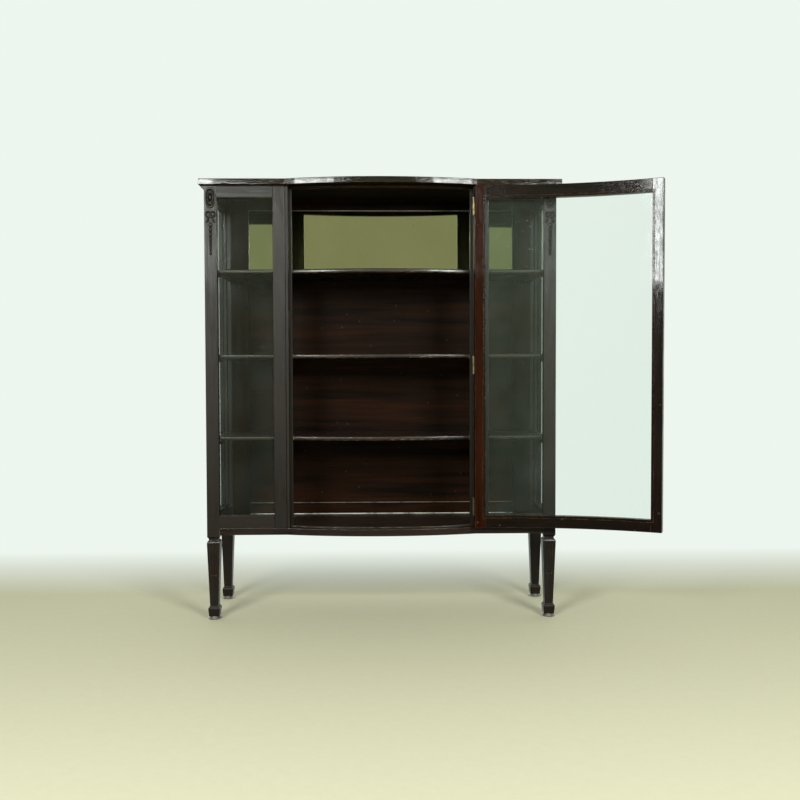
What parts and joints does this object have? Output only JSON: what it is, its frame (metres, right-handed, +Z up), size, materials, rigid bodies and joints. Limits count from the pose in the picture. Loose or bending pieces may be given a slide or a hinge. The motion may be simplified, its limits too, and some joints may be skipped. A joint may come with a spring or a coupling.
{
  "type": "china cabinet",
  "caption": "Bow-front mahogany china cabinet on square tapered legs, glazed at the ends, with a swinging bowed glass door, fixed shelves and a mirror back.",
  "frame": {"origin": "on the floor, midway between the end posts, in the plane of the front posts' front faces", "axes": "+X to the cabinet's right seen from the front, +Y from the front to the back, +Z up"},
  "size_m": [1.478, 0.4665, 1.437],
  "materials": {
    "case_mahogany": "dark varnished mahogany, satin with worn arrises",
    "top_mahogany": "dark varnished mahogany, glossy",
    "inner_mahogany": "reddish dark mahogany, glossy",
    "carved_mahogany": "dark varnished carving with dull hollows",
    "bead_mahogany": "satin",
    "backing_board": "bare, aged",
    "glass": "clear with a faint green tint",
    "mirror": "silvered glass",
    "brass": "aged, rubbed bright at the edges",
    "brass_screws": "aged",
    "lock_steel": "dull",
    "steel_glides": "dull, scuffed"
  },
  "bodies": {
    "case": {"back_bottom_rail": "inner_mahogany", "back_left_stile": "inner_mahogany", "back_middle_rail": "inner_mahogany", "back_panel": "inner_mahogany", "back_right_stile": "inner_mahogany", "back_top_rail": "inner_mahogany", "bottom_board": "inner_mahogany", "case_screws": "brass_screws", "foot_glides": "steel_glides", "front_glass_beads": "bead_mahogany", "front_left_post": "case_mahogany", "front_right_post": "case_mahogany", "header_rail": "inner_mahogany", "hinge_frame_leaves": "brass", "hinge_pins": "brass", "left_door_stop": "case_mahogany", "left_front_bottom_rail": "case_mahogany", "left_front_glass": "glass", "left_front_stile": "case_mahogany", "left_front_top_rail": "case_mahogany", "left_jamb": "case_mahogany", "left_side_bottom_rail": "case_mahogany", "left_side_glass": "glass", "left_side_top_rail": "case_mahogany", "lower_shelf": "inner_mahogany", "middle_shelf": "inner_mahogany", "mirror": "mirror", "mirror_backing": "backing_board", "post_carvings": "carved_mahogany", "rear_left_post": "case_mahogany", "rear_right_post": "case_mahogany", "right_door_stop": "case_mahogany", "right_front_bottom_rail": "case_mahogany", "right_front_glass": "glass", "right_front_stile": "case_mahogany", "right_front_top_rail": "case_mahogany", "right_jamb": "case_mahogany", "right_side_bottom_rail": "case_mahogany", "right_side_glass": "glass", "right_side_top_rail": "case_mahogany", "screw_eyes": "brass", "shelf_cleats": "inner_mahogany", "side_glass_beads": "bead_mahogany", "strike_plate": "brass", "top_board": "top_mahogany", "top_side_mouldings": "case_mahogany", "upper_shelf": "inner_mahogany"},
    "door": {"door_hinge_stile": "case_mahogany", "door_lock_stile": "case_mahogany", "door_top_rail": "case_mahogany", "door_bottom_rail": "case_mahogany", "door_glass": "glass", "door_glass_beads": "bead_mahogany", "hinge_door_leaves": "brass", "door_screws": "brass_screws", "lock_faceplate": "brass", "lock_case": "lock_steel", "keyhole_escutcheon": "brass"},
    "lock_bolt": {"lock_bolt": "brass"}
  },
  "joints": [
    {"name": "door_hinge", "type": "hinge", "parent": "case", "child": "door", "pos_m": [0.30141, -0.0052, 0.858], "axis": [0, 0, 1], "range_deg": [-168.4, 3]},
    {"name": "lock_bolt_slide", "type": "slide", "parent": "door", "child": "lock_bolt", "axis": [0.8927, -0.4507, 0], "range_m": [0, 0.008]}
  ]
}
